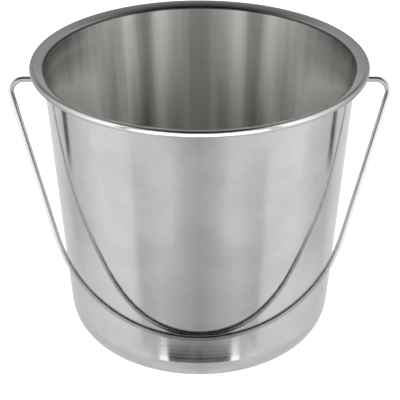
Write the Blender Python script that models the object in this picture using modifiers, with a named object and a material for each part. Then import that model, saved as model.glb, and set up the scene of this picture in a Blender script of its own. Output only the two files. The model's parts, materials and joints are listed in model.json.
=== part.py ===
"""Stainless steel milk pail: a drawn body with a curled rim, two welded ears and a wire bail.

Metres, +Z up. The origin is the middle of the base, on the surface that the pail stands on.
The bail turns about the X axis through the two ears, and rests against the wall on the -Y side.
"""

import math

import bmesh
import bpy
from mathutils import Matrix, Vector

# Body
HEIGHT = 0.2546
RIM_RADIUS = 0.145
WALL_TOP_RADIUS = 0.1343      # outer face of the wall, carried on up to HEIGHT
WALL_BASE_RADIUS = 0.1208     # outer face of the wall, carried on down to the floor
BODY_SHEET = 0.0008
BODY_STEPS = 64
BEAD_RADIUS = 0.003          # round edge that the rim's flange ends in
BEAD_END = math.radians(-165)
BEAD_STEPS = 10
FLANGE_HIGH_SLOPE = math.radians(18)
FLANGE_LOW_SLOPE = math.radians(34)
FLANGE_STEPS = 2
RIM_BEND_RADIUS = 0.0023      # from the wall out to the flange
RIM_BEND_STEPS = 3
CORNER_WIDTH = 0.0103
CORNER_HEIGHT = 0.0205
CORNER_STEPS = 7
PANEL_RADIUS = 0.084          # raised middle of the base
PANEL_STEP = 0.007
PANEL_RISE = 0.0015
PANEL_STEPS = 4

# Bail
HINGE_DROP = 0.0208           # from the top of the rim down to the hinge axis
WIRE_RADIUS = 0.0025
BAIL_REACH = 0.2229           # hinge axis to the wire's centreline at the grip
BAIL_CORNER = 0.1667          # half width where the leg's line meets the hinge axis
BAIL_SPLAY = math.radians(18.2)
BAIL_BEND = 0.010
BEND_STEPS = 6
GRIP_STEPS = 10
HEAD_RADIUS = 0.0042
HEAD_LENGTH = 0.0026
HEAD_NECK = 0.0003

# Ears
EAR_SHEET = 0.001
EAR_HEIGHT = 0.0101           # outer face of the dome, out from the wall
EAR_FACE_RADIUS = 0.0052
EAR_FOOT_RADIUS = 0.0086
EAR_FLANGE_RADIUS = 0.012
EAR_FLANGE_HALF_LENGTH = 0.016
EAR_HOLE_RADIUS = 0.00295
EAR_SHOULDER_STEPS = 3
EAR_SPIN_STEPS = 24

GAP = 0.0003                  # left between pieces that touch
MERGE = 0.00001

HINGE_Z = HEIGHT - HINGE_DROP
WALL_SLOPE = (WALL_TOP_RADIUS - WALL_BASE_RADIUS) / HEIGHT
WALL_ANGLE = math.atan(WALL_SLOPE)


def wall_radius(z):
    """Radius of the wall's outer face at height z."""
    return WALL_BASE_RADIUS + WALL_SLOPE * z


HINGE_WALL = wall_radius(HINGE_Z)


def clear_scene():
    for old in list(bpy.data.objects):
        bpy.data.objects.remove(old, do_unlink=True)


def steel(name, grey, roughness):
    """Bare stainless steel of one finish."""
    material = bpy.data.materials.new(name)
    material.use_nodes = True
    shader = material.node_tree.nodes["Principled BSDF"]
    shader.inputs["Base Color"].default_value = (grey, grey, grey, 1.0)
    shader.inputs["Metallic"].default_value = 1.0
    shader.inputs["Roughness"].default_value = roughness
    return material


def add_object(name, data, material, collection):
    data.materials.append(material)
    piece = bpy.data.objects.new(name, data)
    collection.objects.link(piece)
    return piece


def add_solidify(piece, thickness):
    """Give an open sheet its thickness, half to each side."""
    shell = piece.modifiers.new("sheet", "SOLIDIFY")
    shell.thickness = thickness
    shell.offset = 0.0
    shell.use_even_offset = True


def arc(centre, radii, start, end, steps):
    """Points of an elliptic arc in the plane of a profile, both ends included."""
    turns = [start + (end - start) * i / steps for i in range(steps + 1)]
    return [(centre[0] + radii[0] * math.cos(t), centre[1] + radii[1] * math.sin(t)) for t in turns]


def shift(centre, distance, turn):
    return (centre[0] + distance * math.cos(turn), centre[1] + distance * math.sin(turn))


def mix(low, high, share):
    return low + (high - low) * share


# ---------------------------------------------------------------- body


def rim_profile():
    """Middle of the sheet through the rim: round the bead from its hidden edge, down the flange, to the wall.

    The flange is a shallow arc, as long as it takes to reach from the bead to the wall.
    """
    half = BODY_SHEET / 2
    bead = BEAD_RADIUS - half
    bend = RIM_BEND_RADIUS - half
    high = math.pi / 2 + FLANGE_HIGH_SLOPE
    low = math.pi / 2 + FLANGE_LOW_SLOPE
    wall = math.pi - WALL_ANGLE
    centre = (RIM_RADIUS - BEAD_RADIUS, HEIGHT - BEAD_RADIUS)
    run = bead * math.cos(high) + bend * (math.cos(wall) - math.cos(low))
    rise = bead * math.sin(high) + bend * (math.sin(wall) - math.sin(low))
    width = centre[0] + run - (wall_radius(centre[1] + rise) - half)
    flange = width / (math.cos(high) - math.cos(low) - WALL_SLOPE * (math.sin(high) - math.sin(low)))
    points = arc(centre, (bead, bead), BEAD_END, high, BEAD_STEPS)
    centre = shift(centre, bead - flange, high)
    points += arc(centre, (flange, flange), high, low, FLANGE_STEPS)[1:]
    centre = shift(centre, flange - bend, low)
    points += arc(centre, (bend, bend), low, wall, RIM_BEND_STEPS)[1:]
    return points


def corner_profile():
    """Middle of the sheet round the corner from the wall to the base, an ellipse leaning with the wall."""
    half = BODY_SHEET / 2
    points = []
    for i in range(CORNER_STEPS + 1):
        turn = math.pi / 2 * (1 - i / CORNER_STEPS)
        z = mix(CORNER_HEIGHT, half, math.cos(turn))
        points.append((wall_radius(z) - half - CORNER_WIDTH * (1 - math.sin(turn)), z))
    return points


def panel_profile():
    """Middle of the sheet up the small step to the raised middle of the base."""
    low = BODY_SHEET / 2
    points = []
    for i in range(PANEL_STEPS + 1):
        share = i / PANEL_STEPS
        rise = (1 - math.cos(math.pi * share)) / 2
        points.append((PANEL_RADIUS + PANEL_STEP * (1 - share), low + PANEL_RISE * rise))
    points.append((0.0, low + PANEL_RISE))
    return points


def make_body(material, collection):
    profile = rim_profile() + corner_profile() + panel_profile()
    mesh = bpy.data.meshes.new("pail_body")
    edges = [(i, i + 1) for i in range(len(profile) - 1)]
    mesh.from_pydata([(r, 0.0, z) for r, z in profile], edges, [])
    body = add_object("pail_body", mesh, material, collection)
    turn = body.modifiers.new("turn", "SCREW")
    turn.axis = "Z"
    turn.steps = BODY_STEPS
    turn.render_steps = BODY_STEPS
    turn.use_merge_vertices = True
    turn.merge_threshold = MERGE
    turn.use_smooth_shade = True
    add_solidify(body, BODY_SHEET)
    return body


# ---------------------------------------------------------------- ears


def ear_profile():
    """(radius from the hinge axis, distance out from the wall) through the middle of the ear's sheet."""
    foot = GAP + EAR_SHEET / 2
    face = EAR_HEIGHT - EAR_SHEET / 2
    shoulder = (EAR_FOOT_RADIUS - EAR_FACE_RADIUS) / 2
    points = [(EAR_HOLE_RADIUS, face)]
    points += arc((EAR_FACE_RADIUS, face - shoulder), (shoulder, shoulder), math.pi / 2, 0.2, EAR_SHOULDER_STEPS)
    points.append((EAR_FOOT_RADIUS, foot + EAR_SHEET * 1.8))
    points.append((EAR_FOOT_RADIUS + EAR_SHEET * 0.8, foot + EAR_SHEET * 0.5))
    points.append((EAR_FOOT_RADIUS + EAR_SHEET * 2, foot))
    points.append((EAR_FLANGE_RADIUS, foot))
    return points


def wrap_to_wall(vertex):
    """Stretch the flange lengthwise and lay it on the tapered wall, and leave the dome's face flat."""
    foot = GAP + EAR_SHEET / 2
    face = EAR_HEIGHT - EAR_SHEET / 2
    radius = math.hypot(vertex.y, vertex.z)
    reach = (radius - EAR_FOOT_RADIUS) / (EAR_FLANGE_RADIUS - EAR_FOOT_RADIUS)
    stretch = mix(1.0, EAR_FLANGE_HALF_LENGTH / EAR_FLANGE_RADIUS, min(max(reach, 0.0), 1.0))
    y = vertex.y * stretch
    surface = math.sqrt(wall_radius(HINGE_Z + vertex.z) ** 2 - y ** 2)
    out = vertex.x - HINGE_WALL
    hold = 1 - (out - foot) / (face - foot)
    return Vector((vertex.x + hold * (surface - HINGE_WALL), y, vertex.z))


def ear_mesh():
    """One domed ear on the +X side, with its hole on the hinge axis, in the hinge's own frame."""
    bm = bmesh.new()
    points = [bm.verts.new((HINGE_WALL + out, 0.0, radius)) for radius, out in ear_profile()]
    rails = [bm.edges.new(pair) for pair in zip(points, points[1:])]
    bmesh.ops.spin(bm, geom=points + rails, axis=(1, 0, 0), cent=(0, 0, 0), angle=math.tau, steps=EAR_SPIN_STEPS)
    bmesh.ops.remove_doubles(bm, verts=bm.verts, dist=MERGE)
    for vertex in bm.verts:
        vertex.co = wrap_to_wall(vertex.co)
    bmesh.ops.recalc_face_normals(bm, faces=bm.faces)
    mesh = bpy.data.meshes.new("ear")
    bm.to_mesh(mesh)
    bm.free()
    mesh.shade_smooth()
    return mesh


def make_ears(material, collection):
    right = add_object("ear_right", ear_mesh(), material, collection)
    left = add_object("ear_left", ear_mesh(), material, collection)
    left.rotation_euler.z = math.pi
    for ear in (right, left):
        ear.location.z = HINGE_Z
        add_solidify(ear, EAR_SHEET)


# ---------------------------------------------------------------- bail


def bail_rest_tilt():
    """Angle forward from straight down at which the grip's wire comes to rest on the wall."""
    reach = math.cos(WALL_ANGLE) * HINGE_WALL + WIRE_RADIUS + GAP
    return math.asin(reach / BAIL_REACH) - WALL_ANGLE


def bail_half():
    """(x, drop, radius) of the wire from the head in the +X ear, through the bend and leg to the grip."""
    face_inside = HINGE_WALL + EAR_HEIGHT - EAR_SHEET
    head_end = face_inside - GAP
    points = [
        (head_end - HEAD_LENGTH, 0.0, HEAD_RADIUS),
        (head_end - HEAD_NECK, 0.0, HEAD_RADIUS),
        (head_end, 0.0, WIRE_RADIUS),
    ]
    turn = math.pi / 2 + BAIL_SPLAY
    bend_start = BAIL_CORNER - BAIL_BEND * math.tan(turn / 2)
    bend = arc((bend_start, BAIL_BEND), (BAIL_BEND, BAIL_BEND), -math.pi / 2, turn - math.pi / 2, BEND_STEPS)
    sine, cosine = math.sin(BAIL_SPLAY), math.cos(BAIL_SPLAY)
    grip_radius = (BAIL_CORNER * cosine - BAIL_REACH * sine) / (1 - sine)
    centre = (0.0, BAIL_REACH - grip_radius)
    grip = arc(centre, (grip_radius, grip_radius), BAIL_SPLAY, math.pi / 2, GRIP_STEPS)
    return points + [(x, drop, WIRE_RADIUS) for x, drop in bend + grip]


def make_bail(material, collection):
    right = bail_half()
    left = [(-x, drop, radius) for x, drop, radius in reversed(right[:-1])]
    path = right + left
    curve = bpy.data.curves.new("bail", "CURVE")
    curve.dimensions = "3D"
    curve.bevel_depth = WIRE_RADIUS
    curve.bevel_resolution = 4
    curve.use_fill_caps = True
    wire = curve.splines.new("POLY")
    wire.points.add(len(path) - 1)
    for point, (x, drop, radius) in zip(wire.points, path):
        point.co = (x, 0.0, -drop, 1.0)
        point.radius = radius / WIRE_RADIUS
    wire.use_smooth = True
    bail = add_object("bail", curve, material, collection)
    bail.matrix_world = Matrix.Translation((0, 0, HINGE_Z)) @ Matrix.Rotation(-bail_rest_tilt(), 4, "X")
    return bail


def main():
    clear_scene()
    collection = bpy.data.collections.new("milk_pail")
    bpy.context.scene.collection.children.link(collection)
    make_body(steel("pail_steel", 0.62, 0.16), collection)
    make_ears(steel("ear_steel", 0.58, 0.24), collection)
    make_bail(steel("bail_steel", 0.6, 0.14), collection)


main()
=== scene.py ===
"""Looks of the stainless steel milk pail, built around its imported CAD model.

Every piece is a fine mesh that replaces the faceted CAD node of the same body: the drawn shell and
the bead that its rim's flange ends in, the two pressed ears and the wire bail. The studio is a plain
pale floor, soft light and a world that holds the light and dark zones which polished steel mirrors.
Metres, +Z up.
"""

import json
import math

import bmesh
import bpy
from mathutils import Matrix, Vector


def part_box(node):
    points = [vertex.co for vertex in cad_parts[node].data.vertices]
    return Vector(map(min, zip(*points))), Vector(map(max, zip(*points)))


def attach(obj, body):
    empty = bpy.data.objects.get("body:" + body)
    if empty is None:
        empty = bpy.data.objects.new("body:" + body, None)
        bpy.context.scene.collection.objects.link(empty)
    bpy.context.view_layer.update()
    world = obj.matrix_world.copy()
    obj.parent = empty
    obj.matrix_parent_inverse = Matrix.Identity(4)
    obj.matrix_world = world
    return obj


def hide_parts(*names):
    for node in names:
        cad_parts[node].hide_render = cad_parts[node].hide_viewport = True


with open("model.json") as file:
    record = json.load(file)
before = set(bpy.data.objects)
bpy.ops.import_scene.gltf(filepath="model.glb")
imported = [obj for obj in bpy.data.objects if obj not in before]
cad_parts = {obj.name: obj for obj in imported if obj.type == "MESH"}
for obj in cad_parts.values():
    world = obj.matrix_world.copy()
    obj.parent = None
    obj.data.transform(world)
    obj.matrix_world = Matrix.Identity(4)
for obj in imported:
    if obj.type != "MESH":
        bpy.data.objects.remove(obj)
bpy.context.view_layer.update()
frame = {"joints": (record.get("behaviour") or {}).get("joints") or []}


# ---------------------------------------------------------------- sizes, from the frame

BODY_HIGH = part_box("pail_body")[1]
BAIL_LOW, BAIL_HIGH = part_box("bail")
EAR_LOW, EAR_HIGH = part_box("ear_right")
HINGE = Vector(frame["joints"][0]["pos_m"])

HEIGHT = BODY_HIGH.z
RIM_RADIUS = BODY_HIGH.x
WALL_TOP_RADIUS = 0.1343      # outer face of the wall, carried on up to the rim's top
WALL_BASE_RADIUS = 0.1208     # outer face of the wall, carried on down to the floor
SHEET = 0.0008
BEAD_RADIUS = 0.003
BEAD_END = math.radians(-165)         # the sheet's hidden edge, round from the outermost point
FLANGE_HIGH_SLOPE = math.radians(18)
FLANGE_LOW_SLOPE = math.radians(34)
RIM_BEND_RADIUS = 0.0023      # from the wall out to the flange
CORNER_WIDTH = 0.0103
CORNER_HEIGHT = 0.0205
PANEL_RADIUS = 0.084          # raised middle of the base
PANEL_STEP = 0.007
PANEL_RISE = 0.0015
WALL_SLOPE = (WALL_TOP_RADIUS - WALL_BASE_RADIUS) / HEIGHT
WALL_ANGLE = math.atan(WALL_SLOPE)

EAR_SHEET = 0.001
EAR_GAP = 0.0003              # between the flange of an ear and the wall
EAR_FACE_RADIUS = 0.0052
EAR_FOOT_RADIUS = 0.0086
EAR_HOLE_RADIUS = 0.00295
EAR_SHOULDER_END = 0.2        # radians above level where the shoulder's arc meets the side
EAR_FILLET = EAR_SHEET * 2
EAR_FLANGE_RADIUS = (EAR_HIGH.z - EAR_LOW.z) / 2
EAR_FLANGE_HALF_LENGTH = (EAR_HIGH.y - EAR_LOW.y) / 2
WELD_RADIUS = 0.0021
WELD_DEPTH = 0.0003

WIRE_RADIUS = 0.0025
BAIL_SPLAY = math.radians(18.2)       # of each leg, from straight down
BAIL_BEND = 0.010
HEAD_RADIUS = 0.0042
HEAD_LENGTH = 0.0026
HEAD_ROUNDING = 0.0007

SHELL_SEGMENTS = 256
BEAD_STEPS = 48
FLANGE_STEPS = 16
RIM_BEND_STEPS = 14
WALL_STEPS = 40
CORNER_STEPS = 32
RING_STEPS = 8
PANEL_STEPS = 16
FLOOR_STEPS = 24
EAR_SEGMENTS = 144
EAR_FACE_STEPS = 4
EAR_SHOULDER_STEPS = 10
EAR_SIDE_STEPS = 8
EAR_EDGE_STEPS = 6
WIRE_SIDES = 32
HEAD_STEPS = 6
BAIL_BEND_STEPS = 24
LEG_STEPS = 24
GRIP_STEPS = 48
MERGE_DISTANCE = 0.000001
SHARP_ANGLE = math.radians(50)


def wall_radius(z):
    """Radius of the wall's outer face at height z."""
    return WALL_BASE_RADIUS + WALL_SLOPE * z


HINGE_WALL = wall_radius(HINGE.z)
EAR_HEIGHT = EAR_HIGH.x - HINGE_WALL


def mix(low, high, share):
    """low where share is 0, high where it is 1."""
    return low + (high - low) * share


def shift(centre, distance, turn):
    """The point at a distance from centre, in the direction turn."""
    return (centre[0] + distance * math.cos(turn), centre[1] + distance * math.sin(turn))


def arc(centre, radii, start, end, steps):
    """Points of an elliptic arc in the plane of a profile, both ends included."""
    turns = [start + (end - start) * i / steps for i in range(steps + 1)]
    return [(centre[0] + radii[0] * math.cos(t), centre[1] + radii[1] * math.sin(t)) for t in turns]


def line(start, end, steps):
    """Points along a straight stretch of a profile, without its first point."""
    return [tuple(mix(a, b, i / steps) for a, b in zip(start, end)) for i in range(1, steps + 1)]


# ---------------------------------------------------------------- shared mesh code


def offset(points, distance):
    """The profile moved sideways by distance, to its left as it runs."""
    moved = []
    for i, (x, z) in enumerate(points):
        before = points[max(i - 1, 0)]
        after = points[min(i + 1, len(points) - 1)]
        dx, dz = after[0] - before[0], after[1] - before[1]
        length = math.hypot(dx, dz)
        moved.append((x - dz / length * distance, z + dx / length * distance))
    return moved


def mesh_object(name, bm):
    """A smooth-shaded object from a bmesh, with its hard edges kept sharp."""
    mesh = bpy.data.meshes.new(name)
    bm.to_mesh(mesh)
    bm.free()
    mesh.shade_smooth()
    mesh.set_sharp_from_angle(angle=SHARP_ANGLE)
    piece = bpy.data.objects.new(name, mesh)
    bpy.context.scene.collection.objects.link(piece)
    return piece


def spin(profile, axis, segments):
    """A bmesh of the open 3D polyline profile, turned once round the axis through the origin."""
    bm = bmesh.new()
    points = [bm.verts.new(point) for point in profile]
    rails = [bm.edges.new(pair) for pair in zip(points, points[1:])]
    bmesh.ops.spin(bm, geom=points + rails, axis=axis, cent=(0, 0, 0), angle=math.tau, steps=segments)
    bmesh.ops.remove_doubles(bm, verts=bm.verts, dist=MERGE_DISTANCE)
    bmesh.ops.recalc_face_normals(bm, faces=bm.faces)
    return bm


# ---------------------------------------------------------------- the drawn shell


def bead_middle():
    """Middle of the sheet round the bead, from its hidden edge to where the flange starts."""
    bead = BEAD_RADIUS - SHEET / 2
    centre = (RIM_RADIUS - BEAD_RADIUS, HEIGHT - BEAD_RADIUS)
    return arc(centre, (bead, bead), BEAD_END, math.pi / 2 + FLANGE_HIGH_SLOPE, BEAD_STEPS)


def flange_middle():
    """Middle of the sheet from the bead down the flange, a shallow arc, and round the bend to the wall."""
    half = SHEET / 2
    bead = BEAD_RADIUS - half
    bend = RIM_BEND_RADIUS - half
    high = math.pi / 2 + FLANGE_HIGH_SLOPE
    low = math.pi / 2 + FLANGE_LOW_SLOPE
    wall = math.pi - WALL_ANGLE
    centre = (RIM_RADIUS - BEAD_RADIUS, HEIGHT - BEAD_RADIUS)
    run = bead * math.cos(high) + bend * (math.cos(wall) - math.cos(low))
    rise = bead * math.sin(high) + bend * (math.sin(wall) - math.sin(low))
    width = centre[0] + run - (wall_radius(centre[1] + rise) - half)
    flange = width / (math.cos(high) - math.cos(low) - WALL_SLOPE * (math.sin(high) - math.sin(low)))
    centre = shift(centre, bead - flange, high)
    points = arc(centre, (flange, flange), high, low, FLANGE_STEPS)
    centre = shift(centre, flange - bend, low)
    return points + arc(centre, (bend, bend), low, wall, RIM_BEND_STEPS)[1:]


FLANGE_END = flange_middle()[-1][1]    # height where the wall starts


def corner_middle():
    """Middle of the sheet round the corner from the wall to the base, an ellipse leaning with the wall."""
    half = SHEET / 2
    points = []
    for i in range(CORNER_STEPS + 1):
        turn = math.pi / 2 * (1 - i / CORNER_STEPS)
        z = mix(CORNER_HEIGHT, half, math.cos(turn))
        points.append((wall_radius(z) - half - CORNER_WIDTH * (1 - math.sin(turn)), z))
    return points


def panel_middle():
    """Middle of the sheet up the small step of the base, and on to the axis."""
    low = SHEET / 2
    points = []
    for i in range(PANEL_STEPS + 1):
        share = i / PANEL_STEPS
        rise = (1 - math.cos(math.pi * share)) / 2
        points.append((PANEL_RADIUS + PANEL_STEP * (1 - share), low + PANEL_RISE * rise))
    return points + line(points[-1], (0.0, low + PANEL_RISE), FLOOR_STEPS)


def make_bead():
    """The bead that the rim ends in: a curl of the sheet, open underneath."""
    middle = bead_middle()
    outer = offset(middle, SHEET / 2)
    inner = offset(middle, -SHEET / 2)
    loop = outer + inner[::-1] + outer[:1]
    bm = spin([(r, 0.0, z) for r, z in loop], (0, 0, 1), SHELL_SEGMENTS)
    bead = mesh_object("pail_bead", bm)
    bead.data.materials.append(bead_steel())
    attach(bead, "pail")
    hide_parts("pail_body")
    return bead


def make_shell():
    """The rest of the pail's one sheet: flange, tapered wall, rounded corner and base."""
    flange, corner, panel = flange_middle(), corner_middle(), panel_middle()
    wall = line(flange[-1], corner[0], WALL_STEPS)[:-1]
    ring = line(corner[-1], panel[0], RING_STEPS)[:-1]
    middle = flange + wall + corner + ring + panel
    outer = offset(middle, SHEET / 2)
    inner = offset(middle, -SHEET / 2)
    outer[-1] = (0.0, outer[-1][1])
    inner[-1] = (0.0, inner[-1][1])
    profile = outer[::-1] + inner
    bm = spin([(r, 0.0, z) for r, z in profile], (0, 0, 1), SHELL_SEGMENTS)
    shell = mesh_object("pail_shell", bm)
    paint_shell(shell)
    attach(shell, "pail")
    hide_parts("pail_body")
    return shell


def paint_shell(shell):
    """Outside, inside and flange have their own finish, which faces take from where they are."""
    mesh = shell.data
    for material in (outside_steel(), inside_steel(), flange_steel()):
        mesh.materials.append(material)
    outside, inside, flange = range(3)
    for face in mesh.polygons:
        outward = face.normal.x * face.center.x + face.normal.y * face.center.y > 0
        if face.center.z < CORNER_HEIGHT:
            underneath = face.normal.z < -0.5
            outward = underneath or outward and face.normal.z < 0
        if face.center.z > FLANGE_END:
            face.material_index = flange
        else:
            face.material_index = outside if outward else inside


# ---------------------------------------------------------------- ears


def ear_middle():
    """(radius from the hinge axis, distance out from the wall) through the middle of the ear's sheet."""
    foot = EAR_GAP + EAR_SHEET / 2
    face = EAR_HEIGHT - EAR_SHEET / 2
    shoulder = (EAR_FOOT_RADIUS - EAR_FACE_RADIUS) / 2
    points = line((EAR_HOLE_RADIUS, face), (EAR_FACE_RADIUS, face), EAR_FACE_STEPS)
    points = [(EAR_HOLE_RADIUS, face)] + points
    centre = (EAR_FACE_RADIUS, face - shoulder)
    points += arc(centre, (shoulder, shoulder), math.pi / 2, EAR_SHOULDER_END, EAR_SHOULDER_STEPS)[1:]
    points += line(points[-1], (EAR_FOOT_RADIUS, foot + EAR_FILLET), EAR_SIDE_STEPS)
    centre = (EAR_FOOT_RADIUS + EAR_FILLET, foot + EAR_FILLET)
    points += arc(centre, (EAR_FILLET, EAR_FILLET), math.pi, math.pi * 1.5, EAR_SIDE_STEPS)[1:]
    points += line(points[-1], (EAR_FLANGE_RADIUS, foot), EAR_SIDE_STEPS)
    return points


def wrap_to_wall(point):
    """Stretch the flange lengthwise and lay it on the tapered wall, and leave the dome's face flat."""
    foot = EAR_GAP + EAR_SHEET / 2
    face = EAR_HEIGHT - EAR_SHEET / 2
    radius = math.hypot(point.y, point.z)
    reach = (radius - EAR_FOOT_RADIUS) / (EAR_FLANGE_RADIUS - EAR_FOOT_RADIUS)
    stretch = mix(1.0, EAR_FLANGE_HALF_LENGTH / EAR_FLANGE_RADIUS, min(max(reach, 0.0), 1.0))
    y = point.y * stretch
    surface = math.sqrt(wall_radius(HINGE.z + point.z) ** 2 - y ** 2)
    hold = 1 - (point.x - HINGE_WALL - foot) / (face - foot)
    return Vector((point.x + hold * (surface - HINGE_WALL), y, point.z))


def weld_dimple(point):
    """How far a point sinks towards the wall under the two spot welds on the flange."""
    centre = (EAR_FOOT_RADIUS + EAR_FLANGE_HALF_LENGTH) / 2 + EAR_SHEET
    away = math.hypot(abs(point.y) - centre, point.z) / WELD_RADIUS
    return WELD_DEPTH * max(0.0, 1 - away * away) ** 0.5


def make_ear(name, node, turn):
    """One pressed ear: a dome with the wire's hole, and a flange spot welded to the wall.

    It has the plain steel that the frame brings along for the CAD ears.
    """
    middle = ear_middle()
    front = offset(middle, EAR_SHEET / 2)
    back = offset(middle, -EAR_SHEET / 2)
    half = EAR_SHEET / 2
    edge = arc(middle[-1], (half, half), math.pi / 2, -math.pi / 2, EAR_EDGE_STEPS)[1:-1]
    loop = front + edge + back[::-1] + front[:1]
    bm = spin([(HINGE_WALL + out, 0.0, radius) for radius, out in loop], (1, 0, 0), EAR_SEGMENTS)
    for vertex in bm.verts:
        outer_face = vertex.co.x - HINGE_WALL > EAR_GAP + EAR_SHEET / 2
        vertex.co = wrap_to_wall(vertex.co)
        if outer_face:
            vertex.co.x -= weld_dimple(vertex.co)
    ear = mesh_object(name, bm)
    ear.data.materials.append(bpy.data.materials["ear_steel"])
    ear.rotation_euler.z = turn
    ear.location.z = HINGE.z
    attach(ear, "pail")
    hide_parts(node)
    return ear


# ---------------------------------------------------------------- bail


def grip_centre():
    """Middle of the wire at the grip, at rest against the wall."""
    return Vector((0.0, BAIL_LOW.y + WIRE_RADIUS, BAIL_LOW.z + WIRE_RADIUS))


def bail_half():
    """(x, drop, radius) of the wire from the head in the +X ear, through the bend and leg to the grip."""
    reach = (grip_centre() - HINGE).length
    head_end = EAR_HIGH.x - EAR_SHEET - EAR_GAP
    head_start = head_end - HEAD_LENGTH
    points = []
    for i in range(HEAD_STEPS + 1):
        turn = math.pi / 2 * i / HEAD_STEPS
        radius = HEAD_RADIUS - HEAD_ROUNDING * (1 - math.sin(turn))
        points.append((head_start + HEAD_ROUNDING * (1 - math.cos(turn)), 0.0, radius))
    points.append((head_end - HEAD_ROUNDING, 0.0, HEAD_RADIUS))
    points.append((head_end - HEAD_ROUNDING / 4, 0.0, HEAD_RADIUS - HEAD_ROUNDING / 4))
    points.append((head_end, 0.0, WIRE_RADIUS))
    turn = math.pi / 2 + BAIL_SPLAY
    bend_start = BAIL_HIGH.x - WIRE_RADIUS - BAIL_BEND
    corner = bend_start + BAIL_BEND * math.tan(turn / 2)
    centre = (bend_start, BAIL_BEND)
    bend = arc(centre, (BAIL_BEND, BAIL_BEND), -math.pi / 2, turn - math.pi / 2, BAIL_BEND_STEPS)
    sine, cosine = math.sin(BAIL_SPLAY), math.cos(BAIL_SPLAY)
    grip_radius = (corner * cosine - reach * sine) / (1 - sine)
    centre = (0.0, reach - grip_radius)
    grip = arc(centre, (grip_radius, grip_radius), BAIL_SPLAY, math.pi / 2, GRIP_STEPS)
    leg = line(bend[-1], grip[0], LEG_STEPS)[:-1]
    return points + [(x, drop, WIRE_RADIUS) for x, drop in bend + leg + grip]


def make_bail():
    """The bent round wire, with its two upset heads inside the ears."""
    right = bail_half()
    path = right + [(-x, drop, radius) for x, drop, radius in reversed(right[:-1])]
    bm = bmesh.new()
    rings = []
    across = Vector((0.0, 1.0, 0.0))
    for i, (x, drop, radius) in enumerate(path):
        before, after = path[max(i - 1, 0)], path[min(i + 1, len(path) - 1)]
        along = Vector((after[0] - before[0], 0.0, before[1] - after[1])).normalized()
        side = Vector((-along.z, 0.0, along.x))
        middle = Vector((x, 0.0, -drop))
        ring = []
        for k in range(WIRE_SIDES):
            turn = math.tau * k / WIRE_SIDES
            around = math.cos(turn) * side + math.sin(turn) * across
            ring.append(bm.verts.new(middle + radius * around))
        rings.append(ring)
    for first, second in zip(rings, rings[1:]):
        for k in range(WIRE_SIDES):
            after = (k + 1) % WIRE_SIDES
            bm.faces.new((first[k], first[after], second[after], second[k]))
    bm.faces.new(rings[0][::-1])
    bm.faces.new(rings[-1])
    bmesh.ops.recalc_face_normals(bm, faces=bm.faces)
    bail = mesh_object("bail_wire", bm)
    bail.data.materials.append(bail_steel())
    grip = grip_centre() - HINGE
    bail.matrix_world = Matrix.Translation(HINGE) @ Matrix.Rotation(math.atan2(grip.y, -grip.z), 4, "X")
    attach(bail, "bail")
    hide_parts("bail")
    return bail


# ---------------------------------------------------------------- materials

LEVEL_LIMIT = 2.0             # highest level that a curve of levels can hold
NOISE_LOW = 0.3               # a noise keeps mostly between these two
NOISE_HIGH = 0.7


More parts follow.
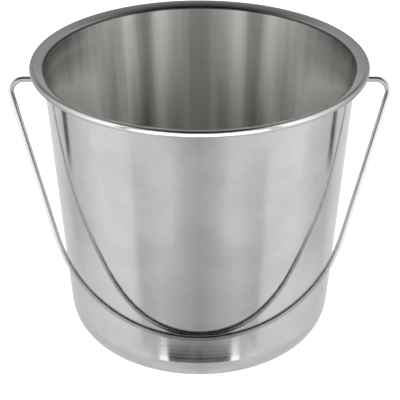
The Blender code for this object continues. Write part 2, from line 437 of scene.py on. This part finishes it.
class Nodes:
    """Short hand for building a node tree."""

    def __init__(self, tree):
        self.tree = tree

    def add(self, kind, **settings):
        node = self.tree.nodes.new(kind)
        for key, value in settings.items():
            setattr(node, key, value)
        return node

    def put(self, socket, value):
        """Feed a socket from another node's output, or set it to a plain value."""
        if isinstance(value, bpy.types.NodeSocket):
            self.tree.links.new(value, socket)
        else:
            socket.default_value = value

    def math(self, operation, *values, clamp=False):
        node = self.add("ShaderNodeMath", operation=operation, use_clamp=clamp)
        for socket, value in zip(node.inputs, values):
            self.put(socket, value)
        return node.outputs[0]

    def add_up(self, first, second):
        return self.math("ADD", first, second)

    def times(self, first, second):
        return self.math("MULTIPLY", first, second)

    def ramp(self, value, low, high, to_low=0.0, to_high=1.0, smooth=True):
        """Map low..high of value to to_low..to_high, eased at both ends."""
        node = self.add("ShaderNodeMapRange", interpolation_type="SMOOTHSTEP" if smooth else "LINEAR")
        for socket, setting in zip(node.inputs, (value, low, high, to_low, to_high)):
            self.put(socket, setting)
        return node.outputs[0]

    def mix(self, first, second, share):
        """first where share is 0, second where it is 1."""
        return self.add_up(self.times(self.math("SUBTRACT", second, first), share), first)

    def curve(self, value, levels):
        """A grey that follows the listed (place, level) points along value."""
        low, high = levels[0][0], levels[-1][0]
        node = self.add("ShaderNodeFloatCurve")
        curve = node.mapping.curves[0]
        while len(curve.points) < len(levels):
            curve.points.new(0.5, 0.5)
        for point, (place, level) in zip(curve.points, levels):
            point.location = ((place - low) / (high - low), level / LEVEL_LIMIT)
            point.handle_type = "AUTO_CLAMPED"
        node.mapping.update()
        self.put(node.inputs["Value"], self.ramp(value, low, high, smooth=False))
        return self.times(node.outputs[0], LEVEL_LIMIT)

    def split(self, vector):
        node = self.add("ShaderNodeSeparateXYZ")
        self.put(node.inputs[0], vector)
        return node.outputs

    def vector(self, x, y, z):
        node = self.add("ShaderNodeCombineXYZ")
        for socket, value in zip(node.inputs, (x, y, z)):
            self.put(socket, value)
        return node.outputs[0]

    def noise(self, vector, scale, detail, roughness):
        node = self.add("ShaderNodeTexNoise")
        self.put(node.inputs["Vector"], vector)
        self.put(node.inputs["Scale"], scale)
        self.put(node.inputs["Detail"], detail)
        self.put(node.inputs["Roughness"], roughness)
        return node.outputs["Fac"]

    def drawn_noise(self, x, y, run, round_scale, run_scale, detail, roughness):
        """Noise in lines, which go round the pail if run_scale is the larger, and else up its wall."""
        place = (self.times(x, round_scale), self.times(y, round_scale), self.times(run, run_scale))
        return self.noise(self.vector(*place), 1.0, detail, roughness)

    def spread(self, noise, low, high):
        """Map what a noise mostly keeps between to low..high."""
        return self.ramp(noise, NOISE_LOW, NOISE_HIGH, low, high)

    def bump(self, height, distance, normal=None):
        node = self.add("ShaderNodeBump")
        self.put(node.inputs["Height"], height)
        self.put(node.inputs["Distance"], distance)
        if normal is not None:
            self.put(node.inputs["Normal"], normal)
        return node.outputs["Normal"]

    def grey(self, value, warmth=0.0):
        """A colour from one brightness, a little warmer where warmth is above 0."""
        node = self.add("ShaderNodeCombineColor")
        self.put(node.inputs[0], value)
        self.put(node.inputs[1], self.times(value, 1 - warmth * 0.3))
        self.put(node.inputs[2], self.times(value, 1 - warmth))
        return node.outputs[0]


def new_steel(name):
    """A metal material, its node helper and its shader."""
    material = bpy.data.materials.new(name)
    material.use_nodes = True
    shader = material.node_tree.nodes["Principled BSDF"]
    shader.inputs["Metallic"].default_value = 1.0
    return material, Nodes(material.node_tree), shader


def turned_place(n):
    """x, y, z, and run, which grows up the wall and out along the base: its lines go round the pail."""
    x, y, z = n.split(n.add("ShaderNodeTexCoord").outputs["Object"])
    radius = n.math("SQRT", n.add_up(n.times(x, x), n.times(y, y)))
    return x, y, z, n.add_up(z, radius)


def outside_steel():
    """Polished: fine lines round the pail, shallow waves up its wall, and smudges."""
    material, n, shader = new_steel("outside_steel")
    x, y, z, run = turned_place(n)
    grain = n.drawn_noise(x, y, run, 4.0, 900.0, 6.0, 0.7)
    waves = n.drawn_noise(x, y, run, 26.0, 5.0, 3.0, 0.5)
    smudges = n.noise(n.vector(x, y, z), 30.0, 5.0, 0.6)
    n.put(shader.inputs["Base Color"], n.grey(n.spread(smudges, 0.565, 0.63), 0.01))
    dulled = n.ramp(smudges, 0.4, 0.8, 0.0, 0.03)
    n.put(shader.inputs["Roughness"], n.add_up(n.spread(grain, 0.05, 0.1), dulled))
    waved = n.bump(waves, 0.0004)
    n.put(shader.inputs["Normal"], n.bump(grain, 0.000006, waved))
    return material


# Tone of the inner wall by degrees round from the back: painted reflections, bands of light and dark that
# the inside mirrors, the same on both sides
INSIDE_PAINTED_REFLECTIONS = (
    (0, 0.76), (3, 0.8), (7, 0.98), (12, 0.86), (17, 1.0), (20, 0.86), (23, 0.6), (26, 0.64), (30, 0.8),
    (34, 0.64), (38, 0.54), (46, 0.56), (54, 0.5), (60, 0.44), (66, 0.4), (71, 0.48), (77, 0.56),
    (82, 0.49), (90, 0.39), (105, 0.4), (180, 0.6),
)

# Painted shade: how much of that tone is lost low on the wall, by the same degrees
INSIDE_SHADES = (
    (0, 0.0), (6, 0.1), (11, 0.36), (18, 0.34), (22, 0.38), (26, 0.57), (30, 0.45), (34, 0.1), (38, 0.0),
    (180, 0.0),
)

FLOOR_TONE = 0.55
FLOOR_FADE = (0.004, 0.035)   # heights between which the floor's finish turns into the wall's
SIDE_FROM = (38, 68)          # degrees round from the back where the painted light on the sides starts
SIDE_FADE = (0.232, 0.185)    # heights down which they get lighter
SIDE_GAIN = 2.1               # share of the tone gained there
BACK_FADE = (0.22, 0.12)      # heights down which the painted shade of INSIDE_SHADES sets in
RIM_FROM = (40, 70)           # degrees round from the back where the painted shade under the rim starts
RIM_FADE = (0.234, 0.247)     # heights up which it gets darker
RIM_LOSS = 0.5                # share of the tone lost there


def inside_tone(n, x, y, z):
    """Tone of the inner wall: painted reflections, with painted light on the sides and painted shade low at
    the back and under the rim.
    """
    angle = n.times(n.math("ARCTAN2", n.math("ABSOLUTE", x), y), math.degrees(1))
    # painted light on the sides of the inner wall, growing lower down
    sides = n.times(n.ramp(angle, *SIDE_FROM), n.ramp(z, *SIDE_FADE, 0.0, SIDE_GAIN))
    # painted shade, low on the back of the inner wall
    back = n.times(n.curve(angle, INSIDE_SHADES), n.ramp(z, *BACK_FADE, 0.0, -1.0))
    # painted shade in a band under the rim
    rim = n.times(n.ramp(angle, *RIM_FROM), n.ramp(z, *RIM_FADE, 0.0, -RIM_LOSS))
    # painted reflections: bands of light and dark round the inner wall
    tone = n.curve(angle, INSIDE_PAINTED_REFLECTIONS)
    for change in (sides, back, rim):
        tone = n.times(tone, n.add_up(change, 1.0))
    return n.mix(FLOOR_TONE, tone, n.ramp(z, *FLOOR_FADE))


def inside_steel():
    """Satin, with fine lines round the pail, streaks up its wall, and the painted light and shade of
    inside_tone.
    """
    material, n, shader = new_steel("inside_steel")
    shader.inputs["Anisotropic Rotation"].default_value = 0.25
    x, y, z, run = turned_place(n)
    n.put(shader.inputs["Anisotropic"], n.ramp(z, *FLOOR_FADE, 0.6, 1.0))
    tangent = n.add("ShaderNodeTangent", direction_type="RADIAL", axis="Z")
    n.put(shader.inputs["Tangent"], tangent.outputs[0])
    grain = n.drawn_noise(x, y, run, 9.0, 420.0, 3.0, 0.6)
    streaks = n.drawn_noise(x, y, run, 90.0, 3.0, 3.0, 0.6)
    # base colour: the painted light and shade of inside_tone, with random streaks on top
    tone = n.add_up(inside_tone(n, x, y, z), n.spread(streaks, -0.06, 0.06))
    tone = n.math("ADD", tone, n.spread(grain, -0.02, 0.02), clamp=True)
    n.put(shader.inputs["Base Color"], n.grey(tone, 0.05))
    n.put(shader.inputs["Roughness"], n.spread(streaks, 0.38, 0.43))
    waved = n.bump(streaks, 0.0001)
    n.put(shader.inputs["Normal"], n.bump(grain, 0.000002, waved))
    return material


FLANGE_DARK = 0.0015          # height above the wall's end up to which the flange has painted shade in the bend
FLANGE_BRIGHT = 0.0022        # and from where that painted shade is gone
FLANGE_FRONT = (-0.09, 0.0)   # y over which the painted light on the front turns into the back


def flange_steel():
    """Polished, with painted shade in the bend to the wall and painted light brightest at the front."""
    material, n, shader = new_steel("flange_steel")
    x, y, z, run = turned_place(n)
    grain = n.drawn_noise(x, y, run, 20.0, 900.0, 4.0, 0.6)
    # painted shade in the bend and painted light on the front, multiplied into the base colour
    painted_shading = n.ramp(z, FLANGE_END + FLANGE_DARK, FLANGE_END + FLANGE_BRIGHT, 0.1, 1.0)
    painted_shading = n.times(painted_shading, n.ramp(y, *FLANGE_FRONT, 1.38, 1.0))
    n.put(shader.inputs["Base Color"], n.grey(n.times(n.spread(grain, 0.58, 0.64), painted_shading), 0.01))
    n.put(shader.inputs["Roughness"], n.spread(grain, 0.06, 0.12))
    n.put(shader.inputs["Normal"], n.bump(grain, 0.000004))
    return material


BEAD_FRONT = (-0.07, -0.035)  # y over which the bead's front turns into its back
FRONT_ASIDE = (0.06, 0.14)    # distance from the middle over which painted shade darkens the front
BACK_ASIDE = (0.08, 0.12)     # and over which the back does


def bead_steel():
    """Rougher than the flange, with painted shade towards both sides, most of it at the front."""
    material, n, shader = new_steel("bead_steel")
    x, y, z, run = turned_place(n)
    grain = n.drawn_noise(x, y, run, 20.0, 900.0, 4.0, 0.6)
    aside = n.math("ABSOLUTE", x)
    # painted shade that dims the bead towards both sides
    front = n.ramp(aside, *FRONT_ASIDE, 1.0, 0.5)
    back = n.ramp(aside, *BACK_ASIDE, 1.0, 0.85)
    painted_shading = n.mix(front, back, n.ramp(y, *BEAD_FRONT))
    n.put(shader.inputs["Base Color"], n.grey(n.times(n.spread(grain, 0.62, 0.68), painted_shading), 0.01))
    n.put(shader.inputs["Roughness"], n.spread(grain, 0.13, 0.19))
    n.put(shader.inputs["Normal"], n.bump(grain, 0.000004))
    return material


WIRE_EDGE_TINT = (0.25, 0.25, 0.25, 1.0)    # reflections darken towards the wire's edges
LEG_FROM = (0.105, 0.12)      # distance from the middle where the grip, painted darker, turns into a leg, painted lighter
WIRE_BACK = (-0.0019, -0.001)     # place across the wire where its front, painted darker, turns into its back, painted lighter
CONTACT_SHADE_BACK = (-0.0016, -0.0004)    # the same for the painted contact shade where the grip lies on the wall, darkest on its back
CONTACT_SHADE_TO = (0.015, 0.05)       # distance from the middle where that painted contact shade ends


def bail_steel():
    """Painted shade in front and on the grip, painted light on the legs and the back, and painted contact
    shade in the middle of the grip, where it lies on the wall.
    """
    material, n, shader = new_steel("bail_steel")
    shader.inputs["Specular Tint"].default_value = WIRE_EDGE_TINT
    place = n.add("ShaderNodeTexCoord").outputs["Object"]
    x, y, z = n.split(place)
    aside = n.math("ABSOLUTE", x)
    leg = n.ramp(aside, *LEG_FROM)
    # painted shade on the grip's front, painted light on the legs and on the back
    painted_shading = n.mix(n.mix(0.39, 0.7, leg), 0.9, n.ramp(y, *WIRE_BACK))
    # painted contact shade in the middle of the grip, where it rests on the wall
    contact_shade = n.ramp(y, *CONTACT_SHADE_BACK, 0.6, 0.25)
    painted_shading = n.times(painted_shading, n.mix(contact_shade, 1.0, n.ramp(aside, *CONTACT_SHADE_TO)))
    mottle = n.noise(place, 90.0, 3.0, 0.6)
    fine = n.noise(place, 700.0, 2.0, 0.5)
    n.put(shader.inputs["Base Color"], n.grey(n.add_up(painted_shading, n.spread(mottle, -0.03, 0.03)), 0.01))
    n.put(shader.inputs["Roughness"], n.add_up(n.mix(0.24, 0.1, leg), n.spread(mottle, 0.0, 0.05)))
    n.put(shader.inputs["Normal"], n.bump(fine, 0.000001))
    return material


# ---------------------------------------------------------------- studio

CAMERA_DISTANCE = 0.87        # in front of the pail's axis
CAMERA_HEIGHT = 0.615
CAMERA_DOWN = math.radians(29.98)
LENS = 98.1
SENSOR = 36.0
CAMERA_SHIFT = 0.00125

FLOOR_HALF = 4.0
FLOOR_COLOUR = (0.9, 0.9, 0.9, 1.0)
FLOOR_GLOW = 0.75

CARD_SIZE = (2.7, 2.0)
CARD_PLACE = (0.0, -1.5, -0.25)
CARD_POWER = 40.0
TOP_SIZE = (1.6, 1.2)
TOP_PLACE = (0.0, -0.2, 2.2)
TOP_POWER = 12.0


def make_camera():
    data = bpy.data.cameras.new("camera")
    data.lens = LENS
    data.sensor_width = SENSOR
    data.shift_x = CAMERA_SHIFT
    camera = bpy.data.objects.new("camera", data)
    camera.location = (0.0, -CAMERA_DISTANCE, CAMERA_HEIGHT)
    camera.rotation_euler = (math.pi / 2 - CAMERA_DOWN, 0.0, 0.0)
    bpy.context.scene.collection.objects.link(camera)
    bpy.context.scene.camera = camera


def make_floor():
    """A plain pale floor, bright enough to stay white, with a soft shadow at the pail."""
    bm = bmesh.new()
    bmesh.ops.create_grid(bm, x_segments=8, y_segments=8, size=FLOOR_HALF)
    floor = mesh_object("floor", bm)
    material = bpy.data.materials.new("floor_white")
    material.use_nodes = True
    shader = material.node_tree.nodes["Principled BSDF"]
    shader.inputs["Base Color"].default_value = FLOOR_COLOUR
    shader.inputs["Roughness"].default_value = 1.0
    shader.inputs["Emission Color"].default_value = (1.0, 1.0, 1.0, 1.0)
    shader.inputs["Emission Strength"].default_value = FLOOR_GLOW
    floor.data.materials.append(material)
    floor.visible_glossy = False


def make_area_light(name, size, place, power):
    """A rectangular area light, shining straight down."""
    data = bpy.data.lights.new(name, "AREA")
    data.shape = "RECTANGLE"
    data.size, data.size_y = size
    data.energy = power
    light = bpy.data.objects.new(name, data)
    light.location = place
    bpy.context.scene.collection.objects.link(light)
    return light


def make_top_light():
    light = make_area_light("soft_top", TOP_SIZE, TOP_PLACE, TOP_POWER)
    light.visible_glossy = False


def make_bead_card(bead):
    """A large soft card in front of the pail, part of it below the floor, that only the bead picks up."""
    card = make_area_light("bead_card", CARD_SIZE, CARD_PLACE, CARD_POWER)
    card.rotation_euler = (math.radians(90), 0.0, 0.0)
    card.visible_camera = False
    lit = bpy.data.collections.new("bead_lit")
    lit.objects.link(bead)
    card.light_linking.receiver_collection = lit
    card.light_linking.blocker_collection = lit


# Brightness that the steel mirrors, by degrees round from the front, in zones from straight down
# upwards. Each entry is (degrees, level).
UNDER_LEVELS = ((0, 0.62), (30, 0.75), (60, 0.84), (90, 0.78), (180, 0.72))
EDGE_LEVELS = (
    (0, 0.0), (26, 0.05), (29, 0.8), (31, 2.0), (36.5, 2.0), (39, 0.9), (44, 0.84), (50, 1.02), (62, 0.93),
    (82, 0.8), (180, 0.72),
)
FOOT_LEVELS = (
    (0, 0.0), (28, 0.05), (30.5, 0.5), (33, 1.2), (35, 1.1), (38.5, 0.66), (41, 0.72), (44, 0.84),
    (50, 1.02), (56, 0.97), (62, 0.93), (68, 0.86), (82, 0.8), (180, 0.72),
)
LOW_LEVELS = (
    (0, 0.48), (10, 0.57), (26, 0.68), (34, 0.71), (42, 0.68), (49, 0.64), (56, 0.88), (64, 0.96),
    (100, 0.9), (130, 0.78), (180, 0.74),
)
NEAR_LEVELS = (
    (0, 0.60), (11, 0.68), (19, 0.79), (26, 0.88), (34, 0.86), (42, 0.80), (49, 0.79), (57, 0.96),
    (64, 1.0), (80, 1.0), (94, 0.9), (109, 0.76), (124, 0.70), (139, 0.8), (154, 0.8), (180, 0.76),
)
FAR_LEVELS = (
    (0, 0.55), (11, 0.64), (26, 0.86), (34, 0.9), (49, 0.93), (60, 1.0), (79, 1.04), (94, 0.9), (109, 0.78),
    (116, 0.7), (118.5, 0.15), (121.5, 0.15), (125, 0.76), (139, 0.84), (154, 0.84), (180, 0.8),
)
MID_LEVELS = (
    (0, 0.7), (12, 0.7), (22, 1.2), (28, 1.5), (35, 1.3), (44, 0.5), (50, 0.45), (56, 1.7), (66, 1.7),
    (80, 1.4), (98, 1.2), (120, 1.0), (150, 0.42), (180, 0.38),
)

# Brightness of the top, by degrees from the front horizon over the top towards the back, and the
# level of its sides
HIGH_LEVELS = ((30, 0.1), (45, 0.02), (90, 0.02), (103, 0.1), (120, 0.24), (150, 0.3))
SIDE_TOP_LEVEL = 1.1

# Where each zone takes over from the one below: (levels, from height, to height), heights in degrees.
# The wall mirrors these five, so their heights follow the level rings that go round it: one such ring
# mirrors heights that rise by RING_LIFT from the pail's front to its sides.
RING_ZONES = (
    (EDGE_LEVELS, -46.5, -45.2),
    (FOOT_LEVELS, -44.4, -44.15),
    (LOW_LEVELS, -43.9, -43.4),
    (NEAR_LEVELS, -40.5, -37.0),
    (FAR_LEVELS, -34.3, -32.8),
)
RING_LIFT = 6.3
MID_FROM = (-22, -10)         # heights where MID_LEVELS takes over
TOP_FROM = (34, 52)           # heights where the top takes over
SIDE_TOP_FROM = (20, 42)      # degrees aside where the top turns into its sides


def mirrored_level(n):
    """Brightness of the studio in each direction: the zones, and a top that is dark but for its sides."""
    x, y, z = n.split(n.add("ShaderNodeTexCoord").outputs["Generated"])
    degree = math.degrees(1)
    across = n.math("ABSOLUTE", x)
    front = n.times(y, -1.0)
    azimuth = n.times(n.math("ARCTAN2", across, front), degree)
    height = n.times(n.math("ARCSINE", z), degree)
    over = n.times(n.math("ARCTAN2", z, front), degree)
    aside = n.times(n.math("ARCSINE", across), degree)
    wall_turn = n.times(azimuth, math.radians(0.5))
    lean = n.math("SUBTRACT", 1.0, n.math("COSINE", wall_turn))
    ring = n.math("SUBTRACT", height, n.times(lean, RING_LIFT))
    level = n.curve(azimuth, UNDER_LEVELS)
    for levels, low, high in RING_ZONES:
        level = n.mix(level, n.curve(azimuth, levels), n.ramp(ring, low, high))
    level = n.mix(level, n.curve(azimuth, MID_LEVELS), n.ramp(height, *MID_FROM))
    top = n.mix(n.curve(over, HIGH_LEVELS), SIDE_TOP_LEVEL, n.ramp(aside, *SIDE_TOP_FROM))
    return n.mix(level, top, n.ramp(height, *TOP_FROM))


def make_world():
    """White to the camera, and to the steel a light tent with darker zones in front, above and behind."""
    world = bpy.data.worlds.new("studio")
    bpy.context.scene.world = world
    world.use_nodes = True
    world.node_tree.nodes.clear()
    n = Nodes(world.node_tree)
    seen = n.add("ShaderNodeBackground")
    n.put(seen.inputs["Color"], (1, 1, 1, 1))
    n.put(seen.inputs["Strength"], 1.0)
    mirrored = n.add("ShaderNodeBackground")
    n.put(mirrored.inputs["Color"], (1, 1, 1, 1))
    n.put(mirrored.inputs["Strength"], mirrored_level(n))
    choose = n.add("ShaderNodeMixShader")
    n.put(choose.inputs[0], n.add("ShaderNodeLightPath").outputs["Is Camera Ray"])
    n.put(choose.inputs[1], mirrored.outputs[0])
    n.put(choose.inputs[2], seen.outputs[0])
    n.put(n.add("ShaderNodeOutputWorld").inputs["Surface"], choose.outputs[0])


bpy.context.scene.view_settings.view_transform = "Standard"
make_camera()
make_floor()
make_top_light()
make_world()
make_shell()
make_bead_card(make_bead())
make_ear("ear_right_pressing", "ear_right", 0.0)
make_ear("ear_left_pressing", "ear_left", math.pi)
make_bail()
